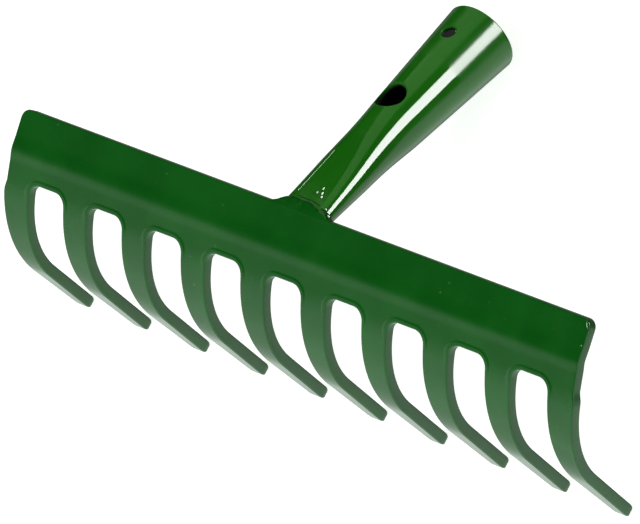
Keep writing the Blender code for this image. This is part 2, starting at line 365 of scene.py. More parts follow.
comb = {
    "toothCount": 10,
    "pitch": 0.028,
    "rootWidth": 0.0119,
    "tipWidth": 0.0053,
    "tipRounding": 0.0041,
    "thickness": 0.0044,
    "gapCorner": 0.0045,
    # shoulders at both ends of the comb
    "endInset": 0.0006,
    "endDrop": 0.0015,
    "endStep": 0.0035,
    "endExtra": 0.0006,
    "endCorner": 0.0035,
    "plateHeight": 0.0093,
    "bendRadius": 0.005,
    "leanDegrees": 13.67,
    "flangeHeight": 0.01477,
    "curlStart": 0.0005,
    "curlRadius": 0.0419,
    "curlDegrees": 59.5,
    "straightTip": 0.0345,
    # rolled edge of the punched steel, and the flat margin beside it
    "rollWidth": 0.0006,
    "rollDepth": 0.0006,
    "rollMargin": 0.0002,
    "backRounding": 0.0005,
    # lips of thick paint round the tops of the gaps
    "lipWidth": 0.0015,
    "lipHeight": 0.00017,
    "lipSlope": 0.5,
    "lipWhole": 0.0025,
    "lipFade": 0.0085,
    # slight swell of the front at the bend, which starts above a row of the grid
    "swellFoot": 0.0058,
    "swellHeight": 0.00019,
    "swellFade": 0.005,
    "swellMargin": 0.0004,
    "tipRoll": 0.0048,
    "tipFlat": 0.05,
    # rows of the grid between the gaps' corners and the plate
    "lowRows": (-0.003, 0.0022, 0.004),
    "mergeDistance": 0.000004,
    # flat drops of paint near the ends:
    # (place along the comb, height on the strip, half width, half length, lift)
    "beads": [
        (0.1301, 0.0232, 0.0008, 0.0018, 0.00012),
        (0.1305, 0.0154, 0.0008, 0.0008, 0.00012),
        (0.1291, 0.0123, 0.0003, 0.0004, 0.00006),
        (-0.1240, 0.0243, 0.0003, 0.0004, 0.00006),
    ],
    "beadFacing": (0.751, 0.443, 0.490),
    "beadSunk": 0.00031,
    "beadDetail": (12, 20),
    "toothSteps": 44,
    "tipSteps": 10,
    "acrossSteps": 3,
    "gapTopSteps": 4,
    "gapCornerSteps": 9,
    "lipSteps": 10,
    "frontRollSteps": 6,
    "backRollSteps": 4,
    "bendSteps": 6,
    "stripSteps": 3,
    "endCornerSteps": 6,
}

lean = math.radians(comb["leanDegrees"])
curl = math.radians(comb["curlDegrees"])
toothLength = comb["curlStart"] + comb["curlRadius"] * curl + comb["straightTip"]
bendEnd = comb["plateHeight"] + comb["bendRadius"] * lean
stripTop = bendEnd + comb["flangeHeight"]
innerRing = comb["rollWidth"] + comb["rollMargin"]
lowHeights = sorted([-comb["gapCorner"], -comb["endDrop"], 0.0, *comb["lowRows"]])
lowShares = [(height - lowHeights[0]) / (lowHeights[-1] - lowHeights[0]) for height in lowHeights]


def toothHalf(down):
    share = min(max(down / toothLength, 0.0), 1.0)
    half = (comb["rootWidth"] + (comb["tipWidth"] - comb["rootWidth"]) * share) / 2
    into = (down - toothLength + comb["tipRounding"]) / comb["tipRounding"]
    return half * math.sqrt(max(1 - into ** 2, 0.0)) if into > 0 else half


def toothSide():
    # (half width, height) from the gap's corner to the tip's middle
    tipStart = toothLength - comb["tipRounding"]
    downs = spread(comb["gapCorner"], tipStart, comb["toothSteps"])
    downs += [tipStart + comb["tipRounding"] * math.sin(turn) for turn in quarter(comb["tipSteps"])[1:]]
    return [(toothHalf(down), -down) for down in downs]


def outwardNormals(line, first, last):
    # for a line that has the steel on its left
    normals = [Vector(first)]
    for before, after in zip(line, line[2:]):
        along = (Vector(after) - Vector(before)).normalized()
        normals.append(Vector((along.y, -along.x)))
    return normals + [Vector(last)]


def lipShare(height):
    # how far the lip of thick paint along the gaps has come up: whole at their tops, nothing at the tips
    return smooth((height + comb["lipFade"]) / (comb["lipFade"] - comb["lipWhole"]))


def ringInset(lip):
    return innerRing + comb["lipWidth"] * lip


def edgeProfile(lip):
    # (inset, distance in front of the steel's middle) from the front face round to the back
    half = comb["thickness"] / 2
    wide, deep, back = comb["rollWidth"], comb["rollDepth"], comb["backRounding"]
    crest = comb["lipHeight"] * lip
    inner = ringInset(lip)
    rise = [(inner + (wide - inner) * share, half + crest * smooth(share / comb["lipSlope"]))
            for share in spread(0, 1, comb["lipSteps"])]
    front = [(wide * (1 - math.sin(turn)), half + crest - (deep + crest) * (1 - math.cos(turn)))
             for turn in quarter(comb["frontRollSteps"])[1:]]
    rear = [(back * (1 - math.cos(turn)), -half + back * (1 - math.sin(turn)))
            for turn in quarter(comb["backRollSteps"])]
    return rise + front + [(0.0, 0.0)] + rear + [(wide, -half), (inner, -half)]


def edgeBand(line, normals, lips):
    # rounded edge that joins back and front along a line
    profiles = [edgeProfile(lip) for lip in lips]
    rows = []
    for level in reversed(range(len(profiles[0]))):
        rows.append([(x - out.x * profile[level][0], height - out.y * profile[level][0], profile[level][1])
                     for (x, height), out, profile in zip(line, normals, profiles)])
    return rows


def insetLine(line, normals, lips):
    return [(x - out.x * ringInset(lip), height - out.y * ringInset(lip))
            for (x, height), out, lip in zip(line, normals, lips)]


def bothFaces(rows):
    # a flat grid on the front of the steel, and its twin on the back
    half = comb["thickness"] / 2
    front = [[(x, height, half) for x, height in row] for row in rows]
    back = [[(x, height, -half) for x, height in reversed(row)] for row in rows]
    return patch(front) + patch(back)


def upperHeights():
    # rows of the plate above the gaps, at the middle of a tooth
    corner = comb["endCorner"]
    swellEnd = bendEnd + comb["swellFade"]
    heights = spread(comb["swellFoot"] - comb["swellMargin"], comb["plateHeight"], comb["bendSteps"])
    heights += spread(comb["plateHeight"], bendEnd, comb["bendSteps"])[1:]
    heights += spread(bendEnd, swellEnd, comb["bendSteps"])[1:]
    heights += spread(swellEnd, stripTop - corner, comb["stripSteps"])[1:]
    heights += [stripTop - corner + (corner - innerRing) * math.sin(turn)
                for turn in quarter(comb["endCornerSteps"])[1:]]
    return heights


def gapLine():
    # edge from the middle of a gap's top to the tip of the tooth right of it, with its way out and its lip
    middle = comb["pitch"] / 2
    radius = comb["gapCorner"]
    inset = middle - toothHalf(radius) - radius
    line = [(x, 0.0) for x in spread(0.0, inset, comb["gapTopSteps"])]
    line += [(inset + radius * math.cos(turn), -radius + radius * math.sin(turn))
             for turn in spread(math.pi / 2, 0, comb["gapCornerSteps"])[1:]]
    corner = len(line) - 1
    line += [(middle - half, height) for half, height in toothSide()[1:]]
    normals = outwardNormals(line, (0, -1), (0, -1))
    return line, normals, [lipShare(height) for _, height in line], corner


def halfGap():
    # steel between the middle of a gap and the middle of the tooth right of it
    middle = comb["pitch"] / 2
    line, normals, lips, corner = gapLine()
    ring = insetLine(line, normals, lips)
    teeth = [[between(point, (middle, point[1]), share) for share in spread(0, 1, comb["acrossSteps"])]
             for point in reversed(ring[corner:])]
    bottom = ring[:corner] + teeth[-1]
    tops = spread(0.0, middle, len(bottom) - 1)
    plate = [[between(start, (x, lowHeights[-1]), share) for start, x in zip(bottom, tops)]
             for share in lowShares]
    plate += [[(x, height) for x in tops] for height in upperHeights()]
    rim = [(x, stripTop) for x in reversed(tops)]
    return (bothFaces(teeth) + bothFaces(plate) + patch(edgeBand(line, normals, lips))
            + patch(edgeBand(rim, [Vector((0, 1))] * len(rim), [0.0] * len(rim))))


def endSteel():
    # steel outside the middle of the last tooth on the right
    corner = comb["endCorner"]
    side = comb["rootWidth"] / 2 - comb["endInset"]
    tipStart = toothLength - comb["tipRounding"]
    stepFoot = comb["endDrop"] + comb["endStep"]

    def outerHalf(down):
        if down > stepFoot:
            return toothHalf(down) + comb["endExtra"] * max(1 - down / tipStart, 0.0) ** 3
        foot = toothHalf(stepFoot) + comb["endExtra"] * (1 - stepFoot / tipStart) ** 3
        share = min(max((stepFoot - down) / comb["endStep"], 0.0), 1.0)
        return foot + (side - foot) * share

    line = [(outerHalf(-height) if -height < tipStart else half, height)
            for half, height in reversed(toothSide())]
    line += [(outerHalf(-height), height)
             for height in lowHeights[1:] + upperHeights()[:-comb["endCornerSteps"]]]
    line += [(side - corner + corner * math.cos(turn), stripTop - corner + corner * math.sin(turn))
             for turn in quarter(comb["endCornerSteps"])[1:]]
    arcEnd = len(line)
    line += [(x, stripTop) for x in spread(side - corner, 0.0, comb["acrossSteps"])[1:]]
    lips = [0.0] * len(line)
    normals = outwardNormals(line, (0, -1), (0, 1))
    normals[arcEnd - 1:] = [Vector((0, 1))] * (len(line) - arcEnd + 1)
    ring = insetLine(line, normals, lips)
    gapEdge, gapNormals, gapLips, gapCorner = gapLine()
    middles = [height for _, height in reversed(insetLine(gapEdge, gapNormals, gapLips)[gapCorner:])]
    start = middles[-1]
    middles += [start + (lowHeights[-1] - start) * share for share in lowShares[1:]] + upperHeights()
    rows = [[between((0.0, height), point, share) for share in spread(0, 1, comb["acrossSteps"])]
            for point, height in zip(ring[:arcEnd], middles)]
    return bothFaces(rows) + patch(edgeBand(line, normals, lips))


def paintBead(x, height, wide, long, lift):
    # closed lens of paint, half sunk in the front of the strip
    out = Vector(comb["beadFacing"]).normalized()
    up = (Vector((0, 1, 0)) - out * out.y).normalized()
    middle = Vector((x, height, comb["thickness"] / 2 - comb["beadSunk"]))
    return closedLump((wide, long, lift), (up.cross(out), up, out), comb["beadDetail"],
                      lambda offset: middle + offset)


def mirrored(faces):
    return [tuple((-x, height, front) for x, height, front in reversed(face)) for face in faces]


def newTree(name, inputs):
    # geometry tree with named number inputs, its sockets' identifiers and values
    tree = bpy.data.node_groups.new(name, "GeometryNodeTree")
    for way in ("INPUT", "OUTPUT"):
        tree.interface.new_socket("Geometry", in_out=way, socket_type="NodeSocketGeometry")
    identifiers = {}
    for label, value in inputs.items():
        kind = "NodeSocketInt" if isinstance(value, int) else "NodeSocketFloat"
        identifiers[label] = tree.interface.new_socket(label, in_out="INPUT", socket_type=kind).identifier
    graph = Graph(tree)
    source = tree.nodes.new("NodeGroupInput")
    wires = {output.name: Wire(graph, output) for output in source.outputs if output.name}
    return graph, wires, identifiers


def repeatAndBend():
    # copies the gap along the comb, adds the ends, and bends the flat strip
    inputs = {
        "Gap Count": comb["toothCount"] - 1,
        "Pitch": comb["pitch"],
        "Merge Distance": comb["mergeDistance"],
        "Plate Height": comb["plateHeight"],
        "Bend Radius": comb["bendRadius"],
        "Lean": lean,
        "Curl Start": comb["curlStart"],
        "Curl Radius": comb["curlRadius"],
        "Curl": curl,
        "Swell Foot": comb["swellFoot"],
        "Swell Height": comb["swellHeight"],
        "Swell Fade": comb["swellFade"],
        "Tooth Length": toothLength,
        "Tip Roll": comb["tipRoll"],
        "Tip Flat": comb["tipFlat"],
        "Tilt": math.radians(lie["tiltDegrees"]),
        "Shift Y": lie["shiftY"],
        "Shift Z": lie["shiftZ"],
    }
    graph, wires, identifiers = newTree("repeatAndBend", inputs)
    unit = graph.node("GeometryNodeInputNamedAttribute", {"data_type": "INT"}, {"Name": "unit"})

    def only(number):
        chosen = graph.node("FunctionNodeCompare", {"data_type": "INT", "operation": "EQUAL"},
                            {2: unit, 3: number})
        return graph.node("GeometryNodeSeparateGeometry", {"domain": "FACE"},
                          {0: wires["Geometry"], 1: chosen})

    def moved(geometry, x):
        return graph.node("GeometryNodeTransform", None, {"Geometry": geometry, "Translation": graph.join(x)})

    span = (wires["Gap Count"] - 1) * wires["Pitch"] / 2
    start, step = graph.join(0 - span), graph.join(wires["Pitch"])
    places = graph.node("GeometryNodeMeshLine", {"mode": "OFFSET"},
                        {"Count": wires["Gap Count"], "Start Location": start, "Offset": step})
    gaps = graph.node("GeometryNodeInstanceOnPoints", None, {"Points": places, "Instance": only(0)})
    lastTooth = span + wires["Pitch"] / 2
    rightEnd = moved(only(1), lastTooth)
    leftEnd = moved(only(2), 0 - lastTooth)
    gaps = graph.node("GeometryNodeRealizeInstances", None, {0: gaps})
    strip = graph.node("GeometryNodeJoinGeometry", None, {0: [gaps, rightEnd, leftEnd]})
    strip = graph.node("GeometryNodeMergeByDistance", None,
                       {"Geometry": strip, "Distance": wires["Merge Distance"]})
    strip = graph.node("GeometryNodeJoinGeometry", None, {0: [strip, only(3)]})

    def arc(along, radius, full):
        turn = graph.clamp(along / radius, 0.0, full)
        rest = graph.maths("MAXIMUM", along - radius * full, 0.0)
        sine, cosine = graph.maths("SINE", turn), graph.maths("COSINE", turn)
        return turn, radius * (1 - cosine) + rest * sine, radius * sine + rest * cosine

    x, height, front = graph.split(graph.node("GeometryNodeInputPosition"))
    leanTurn, leanBack, leanUp = arc(height - wires["Plate Height"], wires["Bend Radius"], wires["Lean"])
    curlTurn, curlBack, curlDown = arc(0 - height - wires["Curl Start"], wires["Curl Radius"], wires["Curl"])
    flat = graph.clamp(height, 0 - wires["Curl Start"], wires["Plate Height"])
    swellTop = wires["Plate Height"] + wires["Bend Radius"] * wires["Lean"]
    swell = (graph.ramp(height, wires["Swell Foot"], wires["Plate Height"])
             - graph.ramp(height, swellTop, swellTop + wires["Swell Fade"])) * wires["Swell Height"]
    # the tips are rounded through their thickness too
    short = graph.maths("MAXIMUM", 1 - (height + wires["Tooth Length"]) / wires["Tip Roll"], 0.0)
    front = front * ((1 - short * short * (1 - wires["Tip Flat"] * wires["Tip Flat"])) ** 0.5)
    turn = leanTurn - curlTurn
    y = leanBack + curlBack - (front + swell) * graph.maths("COSINE", turn)
    z = flat + leanUp - curlDown + (front + swell) * graph.maths("SINE", turn)
    sine, cosine = graph.maths("SINE", wires["Tilt"]), graph.maths("COSINE", wires["Tilt"])
    laid = graph.join(x, y * cosine - z * sine + wires["Shift Y"], y * sine + z * cosine + wires["Shift Z"])
    bent = graph.node("GeometryNodeSetPosition", None, {"Geometry": strip, "Position": laid})
    shaded = graph.node("GeometryNodeSetShadeSmooth", None, {"Geometry": bent})
    whole = graph.node("GeometryNodeRealizeInstances", None, {0: shaded})
    painted = graph.node("GeometryNodeSetMaterial", None, {"Geometry": whole, "Material": combEnamel})
    graph.node("NodeGroupOutput", None, {0: painted})
    return graph.tree, {identifiers[label]: value for label, value in inputs.items()}


def runTree(piece, tree, values):
    # leaves the tree's result as the piece's plain mesh
    modifier = piece.modifiers.new(tree.name, "NODES")
    modifier.node_group = tree
    for identifier, value in values.items():
        modifier[identifier] = value
    result = bpy.data.meshes.new_from_object(piece.evaluated_get(bpy.context.evaluated_depsgraph_get()))
    piece.modifiers.remove(modifier)
    piece.data = result
    result.name = piece.name


def makeComb():
    half = halfGap()
    gap = half + mirrored(half)
    right = endSteel()
    beads = [face for bead in comb["beads"] for face in paintBead(*bead)]
    faces = gap + right + mirrored(right) + beads
    marks = [0] * len(gap) + [1] * len(right) + [2] * len(right) + [3] * len(beads)
    piece = addPiece("comb", meshFromFaces("comb", faces, marks))
    tree, values = repeatAndBend()
    runTree(piece, tree, values)
    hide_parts("comb_blade")
    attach(piece, "root")
    return piece


combPiece = makeComb()
print("comb:", len(combPiece.data.polygons), "faces")


# Socket: a cone of rolled sheet that is pressed flat towards the blade, with two holes in its top

socket = {
    "riseDegrees": 33.3,
    "length": 0.1016,
    "mouthDiameter": 0.0284,
    "taper": 0.124,
    "wall": 0.0018,
    "neckLength": 0.050,
    "neckWidth": 0.0212,
    "neckThickness": 0.0076,
    "neckLift": 0.0005,
    # how soon the cone comes down to the neck's width, thickness and lift
    "widthEase": 1.6,
    "thicknessPower": 1.3,
    "liftEase": 2,
    "clearance": 0.0003,
    "rimRounding": 0.0005,
    "rimSteps": 5,
    "seamWidth": 0.0009,
    "seamDepth": 0.0005,
    "seamPower": 1.5,
    # columns of the grid beside the seam, as shares of the way round, and the number of the others
    "seamColumns": (0.0016, 0.0033, 0.005),
    "columns": 142,
    "rowSpacing": 0.0011,
    "sharpDegrees": 50,
    # depth in the steel at which the inside's painted shade and roughness start, and way up the socket at
    # which the paint is duller
    "insideStart": 0.0008,
    "insideFade": 0.0006,
    "dullStart": 0.0745,
    "dullFade": 0.0012,
    # thin line of facets on the left of the neck: its ends as (place across, distance up the neck),
    # and the half sizes of a facet
    "ridge": [(-0.0066, 0.0040), (-0.0053, 0.0240)],
    "ridgeSteps": 26,
    "facetSizes": (0.00025, 0.0006, 0.00005),
    "facetDetail": (6, 12),
    "facetLeanDegrees": 48.7,
    # a hole takes a square out of the grid: reach is half its length, columns half its width in columns
    "holes": [
        {"x": -0.0021, "diameter": 0.0120, "fromMouth": 0.0478, "reach": 0.0080, "steps": 20, "columns": 18},
        {"x": -0.0011, "diameter": 0.0056, "fromMouth": 0.0138, "reach": 0.0044, "steps": 12, "columns": 8},
    ],
    "holeRounding": 0.0004,
    "holeInnerRounding": 0.0001,
    "holeRings": 6,
    "holeRollSteps": 4,
}

rise = math.radians(socket["riseDegrees"])
sideways = Vector((1, 0, 0))
socketAlong = Vector((0, math.cos(rise), math.sin(rise)))
socketUp = Vector((0, -math.sin(rise), math.cos(rise)))
flangeUp = Vector((0, math.sin(lean), math.cos(lean)))
flangeBack = Vector((0, math.cos(lean), -math.sin(lean)))
bendTop = Vector((0, comb["bendRadius"] * (1 - math.cos(lean)),
                  comb["plateHeight"] + comb["bendRadius"] * math.sin(lean)))
backCorner = bendTop + flangeUp * comb["flangeHeight"] + flangeBack * comb["thickness"] / 2
neckEnd = backCorner + socketAlong * socket["clearance"]


def socketSection(along, inset):
    # radius of the rounded sides, half the flat between them, and lift of the middle
    coneRadius = socket["mouthDiameter"] / 2 - socket["taper"] / 2 * (socket["length"] - along)
    flatness = max(1 - along / socket["neckLength"], 0.0)
    halfWidth = coneRadius + (socket["neckWidth"] / 2 - coneRadius) * smooth(socket["widthEase"] * flatness)
    halfThick = coneRadius + (socket["neckThickness"] / 2 - coneRadius) * flatness ** socket["thicknessPower"]
    lift = socket["neckLift"] * smooth(socket["liftEase"] * flatness)
    return halfThick - inset, max(halfWidth - halfThick, 0.0), lift


def socketPoint(x, along, up):
    return neckEnd + socketAlong * along + socketUp * up + sideways * x


def socketPlace(x, along, up):
    return tuple(layDown(socketPoint(x, along, up)))


def skinPoint(fraction, along, inset):
    # a point of the skin, by its share of the way round from the middle of the top
    radius, flat, lift = socketSection(along, inset)
    around = 4 * flat + 2 * math.pi * radius
    way = abs(fraction) * around
    side = 1 if fraction > 0 else -1
    if inset == 0:
        fromSeam = around / 2 - way
        dip = socket["seamDepth"] * max(1 - fromSeam / (socket["seamWidth"] / 2), 0.0) ** socket["seamPower"]
    else:
        dip = 0.0
    if way <= flat:
        return side * way, radius + lift
    turn = (way - flat) / radius
    if turn >= math.pi:
        return side * (around / 2 - way), dip - radius + lift
    return side * (flat + radius * math.sin(turn)), radius * math.cos(turn) + lift + dip


def skinPlace(fraction, along, inset):
    x, up = skinPoint(fraction, along, inset)
    return socketPlace(x, along, up)


def topHeight(x, along, inset):
    radius, flat, lift = socketSection(along, inset)
    return math.sqrt(max(radius ** 2 - max(abs(x) - flat, 0.0) ** 2, 0.0)) + lift


def onNeck(x, along):
    return socketPoint(x, along, topHeight(x, along, 0.0))


def leaningAxes(degrees):
    # side, length and outward way of something flat on the neck that leans to the right
    turn = math.radians(degrees)
    side = sideways * math.cos(turn) - socketUp * math.sin(turn)
    out = sideways * math.sin(turn) + socketUp * math.cos(turn)
    return side, socketAlong, out


def socketColumns():
    near, far, last = socket["seamColumns"]
    inner = spread(last - 0.5, 0.5 - last, socket["columns"])
    return [-0.5, near - 0.5, far - 0.5] + inner + [0.5 - far, 0.5 - near, 0.5]


def socketRows():
    # distances from the neck's end; the rows round a hole are evenly spaced, and are noted in it
    rows = [0.0]
    for hole in socket["holes"]:
        middle = socket["length"] - hole["fromMouth"]
        start = middle - hole["reach"]
        rows += spread(rows[-1], start, round((start - rows[-1]) / socket["rowSpacing"]))[1:]
        hole["rows"] = (len(rows) - 1, len(rows) - 1 + hole["steps"])
        rows += spread(start, middle + hole["reach"], hole["steps"])[1:]
    end = socket["length"] - socket["rimRounding"]
    return rows + spread(rows[-1], end, round((end - rows[-1]) / socket["rowSpacing"]))[1:]


def holeRings(hole, edge, inset):
    # loops from the edge of the square cut out of the grid, given as (x, along), to the hole
    middle = socket["length"] - hole["fromMouth"]
    radius = hole["diameter"] / 2
    rounding = socket["holeRounding"] if inset == 0 else socket["holeInnerRounding"]
    centre = hole["x"]
    turns = [math.atan2(along - middle, x - centre) for x, along in edge]
    rings = []
    for share in spread(0, 1, socket["holeRings"]):
        rings.append([(x + (centre + (radius + rounding) * math.cos(turn) - x) * share,
                       along + (middle + (radius + rounding) * math.sin(turn) - along) * share, 0.0)
                      for (x, along), turn in zip(edge, turns)])
    for roll in quarter(socket["holeRollSteps"])[1:]:
        out = radius + rounding * (1 - math.sin(roll))
        depth = rounding * (1 - math.cos(roll))
        rings.append([(centre + out * math.cos(turn), middle + out * math.sin(turn), depth)
                      for turn in turns])
    down = 1 if inset == 0 else -1
    return [[socketPlace(x, along, topHeight(x, along, inset) - depth * down) for x, along, depth in ring]
            for ring in rings]


def blockEdge(hole, columns, rows, inset):
    # the grid points round a hole, anticlockwise from the lower left corner, as (x, along)
    low, high = hole["rows"]
    middleRow = rows[(low + high) // 2]

    def offCentre(number):
        return abs(skinPoint(columns[number], middleRow, 0.0)[0] - hole["x"])

    centre = min(range(len(columns)), key=offCentre)
    left, right = centre - hole["columns"], centre + hole["columns"]
    ways = [(number, low) for number in range(left, right)]
    ways += [(right, number) for number in range(low, high)]
    ways += [(number, high) for number in range(right, left, -1)]
    ways += [(left, number) for number in range(high, low, -1)]
    edge = [(skinPoint(columns[column], rows[row], inset)[0], rows[row]) for column, row in ways]
    return edge, (left, right)


def skin(columns, rows, inset):
    # outer or inner skin with its holes left open, and the loops that go round the holes
    grid = [[skinPlace(share, along, inset) for share in columns] for along in rows]
    blocks = []
    faces = []
    loops = []
    for hole in socket["holes"]:
        edge, sides = blockEdge(hole, columns, rows, inset)
        rings = holeRings(hole, edge, inset)
        blocks.append((hole["rows"], sides))
        faces += [face for lower, upper in zip(rings, rings[1:]) for face in loopFaces(lower, upper)]
        loops.append(rings[-1])
    for row, (lower, upper) in enumerate(zip(grid, grid[1:])):
        for column in range(len(columns) - 1):
            if any(low <= row < high and left <= column < right for (low, high), (left, right) in blocks):
                continue
            faces.append((lower[column], lower[column + 1], upper[column + 1], upper[column]))
    return grid, faces, loops


def rimRows(columns):
    # from the outer skin round the edge of the mouth to the inner skin
    rounding = socket["rimRounding"]
    steps = [(socket["length"] - rounding * (1 - math.sin(roll)), rounding * (1 - math.cos(roll)))
             for roll in quarter(socket["rimSteps"])]
    steps += [(along, socket["wall"] - inset) for along, inset in reversed(steps)]
    return [[skinPlace(share, along, inset) for share in columns] for along, inset in steps]


def neckRidge():
    # small flat facets in a line on the neck, all turned the same way
    axes = leaningAxes(socket["facetLeanDegrees"])
    faces = []
    for share in spread(0, 1, socket["ridgeSteps"]):
        middle = onNeck(*between(*socket["ridge"], share))
        faces += closedLump(socket["facetSizes"], axes, socket["facetDetail"],
                            lambda offset: layDown(middle + offset))
    return faces


def markSkin(mesh):
    # notes on each point whether it is inside the socket, where the painted shade goes, and whether it is in
    # the half next to the mouth
    inside = mesh.attributes.new("inside", "FLOAT", "POINT")
    mouthward = mesh.attributes.new("mouthward", "FLOAT", "POINT")
    middle = layDown(neckEnd)
    along = layDown(neckEnd + socketAlong) - middle
    up = layDown(neckEnd + socketUp) - middle
    for number, vertex in enumerate(mesh.vertices):
        offset = vertex.co - middle
        way = offset.dot(along)
        radius, flat, lift = socketSection(min(way, socket["length"]), 0.0)
        out = math.hypot(max(abs(vertex.co.x) - flat, 0.0), offset.dot(up) - lift)
        inside.data[number].value = smooth((radius - out - socket["insideStart"]) / socket["insideFade"])
        mouthward.data[number].value = smooth((way - socket["dullStart"]) / socket["dullFade"])


def makeSocket():
    columns = socketColumns()
    rows = socketRows()
    outer, faces, outerLoops = skin(columns, rows, 0.0)
    inner, innerFaces, innerLoops = skin(columns, rows, socket["wall"])
    faces += [tuple(reversed(face)) for face in innerFaces]
    for upper, lower in zip(outerLoops, innerLoops):
        faces += loopFaces(upper, lower)
    faces += patch([outer[-1]] + rimRows(columns) + [inner[-1]])
    faces += patch([inner[0], outer[0]])
    faces += neckRidge()
    mesh = meshFromFaces("socket", faces)
    mesh.shade_smooth()
    mesh.set_sharp_from_angle(angle=math.radians(socket["sharpDegrees"]))
    mesh.materials.append(socketEnamel)
    markSkin(mesh)
    piece = addPiece("socket", mesh)
    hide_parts("handle_socket")
    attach(piece, "root")
    return piece


socketPiece = makeSocket()
print("socket:", len(socketPiece.data.polygons), "faces")


# Welds: a lumpy mound that runs out to both sides, with spatter on it, and a plain bead under the neck

weld = {
    # (place along the blade, height of the crest over the blade's top edge)
    "crest": [(-0.0156, -0.0005), (-0.0145, 0.0002), (-0.012, 0.0014), (-0.0098, 0.0029), (-0.007, 0.0043),
              (-0.003, 0.0049), (0.0005, 0.0048), (0.0045, 0.0043), (0.0074, 0.0035), (0.0092, 0.0025),
              (0.0106, 0.0009), (0.0114, 0.0000), (0.0122, -0.0005)],
    "crestBlur": 0.0012,
    "stations": 96,
    "topSteps": 24,
    # depth of a section's front half, and the share of it that is left where the mound runs out
    "depth": 0.0026,
    "depthShare": 0.75,
    "fullHeight": 0.004,
    # depth of its back half, which grows from one height of the crest on
    "backDepth": 0.0056,
    "backStart": 0.001,
    "backFade": 0.003,
    "waistShare": 0.3,
    "lowestWaist": -0.0004,
    "proud": 0.00003,
    "sunk": 0.00028,
    # lower ends of a section: (distance from its front or back, share of the foot's height)
    "foot": 0.0016,
    "frontFoot": [(0.00012, 1.0), (0.00002, 0.6), (0.0, 0.3)],
    "backFoot": [(0.0003, 0.4), (0.0009, 1.0)],
    "lumpScale": 420.0,
    "lumpHeight": 0.00030,
    "lumpStart": -0.0002,
    "lumpFade": 0.0022,
    "rippleLength": 0.0031,
    "rippleHeight": 0.00002,
    # drops of spatter that lean to the right: (place across, distance up the neck, half width, half length)
    "drops": [(0.0038, 0.0044, 0.0007, 0.0010), (0.0030, 0.0060, 0.0007, 0.0012),
              (0.0020, 0.0078, 0.0006, 0.0011), (0.0009, 0.0056, 0.0005, 0.0008)],
    # drops on the weld's crest: (place across, distance behind the blade's front, height over its edge, size)
    "crestDrops": [(0.0107, 0.0018, 0.0014, 0.0008), (0.0090, 0.0014, 0.0034, 0.0006)],
    "crestDropLength": 0.8,
    "dropLeanDegrees": 48.7,
    "dropFlatness": 0.16,
    "dropLumps": 0.5,
    "dropDetail": (12, 20),
    "underLength": 0.0094,
    "underRadius": 0.0044,
    "underLumps": 0.12,
    "underDetail": (28, 48),
    "blobScale": 252.0,
}


def crestHeight(x):
    points = weld["crest"]
    for (before, low), (after, high) in zip(points, points[1:]):
        if x <= after:
            return low + (high - low) * smooth((x - before) / (after - before)) if x >= before else low
    return points[-1][1]


def crestSmooth(x):
    shifts = spread(-weld["crestBlur"], weld["crestBlur"], 4)
    return sum(crestHeight(x + shift) for shift in shifts) / len(shifts)


def mound(x):
    # closed section through the weld, seen from the right: front, over the top, back and inside the steel
    height = crestSmooth(x)
    foot = weld["foot"]
    share = min(max(height / weld["fullHeight"], 0.0), 1.0)
    deep = weld["depth"] * (weld["depthShare"] + (1 - weld["depthShare"]) * share)
    backDeep = deep + (weld["backDepth"] - deep) * smooth((height - weld["backStart"]) / weld["backFade"])
    waist = min(max(height, weld["lowestWaist"]), weld["fullHeight"]) * weld["waistShare"]
    front = -comb["thickness"] - weld["proud"]
    middle = front + weld["sunk"] + deep
    end = middle + backDeep
    section = [(front + inset, -foot * share) for inset, share in weld["frontFoot"]]
    section += [(middle - (deep if turn < math.pi / 2 else backDeep) * math.cos(turn),
                 waist + (height - waist) * math.sin(turn)) for turn in spread(0, math.pi, weld["topSteps"])]
    section += [(end - inset, -foot * share) for inset, share in weld["backFoot"]]
    points = []
    for back, up in section:
        place = backCorner + flangeBack * back + flangeUp * up + sideways * x
        share = smooth((up - weld["lumpStart"]) / weld["lumpFade"])
        lump = noise.noise(place * weld["lumpScale"]) * weld["lumpHeight"]
        lump += math.sin(2 * math.pi * x / weld["rippleLength"]) * weld["rippleHeight"]
        away = (flangeBack * (back - front - deep) + flangeUp * (up - waist)).normalized()
        points.append(tuple(layDown(place + away * lump * share)))
    return points


def blob(centre, sizes, axes, detail, lumps):
    # closed lump with an uneven surface
    def place(offset):
        swell = 1 + noise.noise((centre + offset) * weld["blobScale"]) * lumps
        return layDown(centre + offset * swell)

    return closedLump(sizes, axes, detail, place)


def drop(centre, wide, long):
    sizes = (wide, long, wide * weld["dropFlatness"])
    return blob(centre, sizes, leaningAxes(weld["dropLeanDegrees"]), weld["dropDetail"], weld["dropLumps"])


def weldPiece(name, faces, node):
    mesh = meshFromFaces(name, faces)
    mesh.shade_smooth()
    mesh.materials.append(weldEnamel)
    piece = addPiece(name, mesh)
    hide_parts(node)
    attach(piece, "root")
    return piece


def makeWelds():
    sections = [mound(x) for x in spread(weld["crest"][0][0], weld["crest"][-1][0], weld["stations"])]
    faces = shell(sections) + [tuple(sections[0]), tuple(reversed(sections[-1]))]
    for x, along, wide, long in weld["drops"]:
        faces += drop(onNeck(x, along), wide, long)
    for x, behind, height, size in weld["crestDrops"]:
        place = backCorner + flangeBack * (behind - comb["thickness"]) + flangeUp * height + sideways * x
        faces += drop(place, size, size * weld["crestDropLength"])
    top = weldPiece("weldTop", faces, "weld_bead_top")
    below = neckEnd - socketUp * socket["neckThickness"] / 2
    sizes = (weld["underLength"], weld["underRadius"], weld["underRadius"])
    axes = (sideways, socketAlong, socketUp)
    bead = blob(below, sizes, axes, weld["underDetail"], weld["underLumps"])
    under = weldPiece("weldUnder", bead, "weld_bead_under")
    return top, under


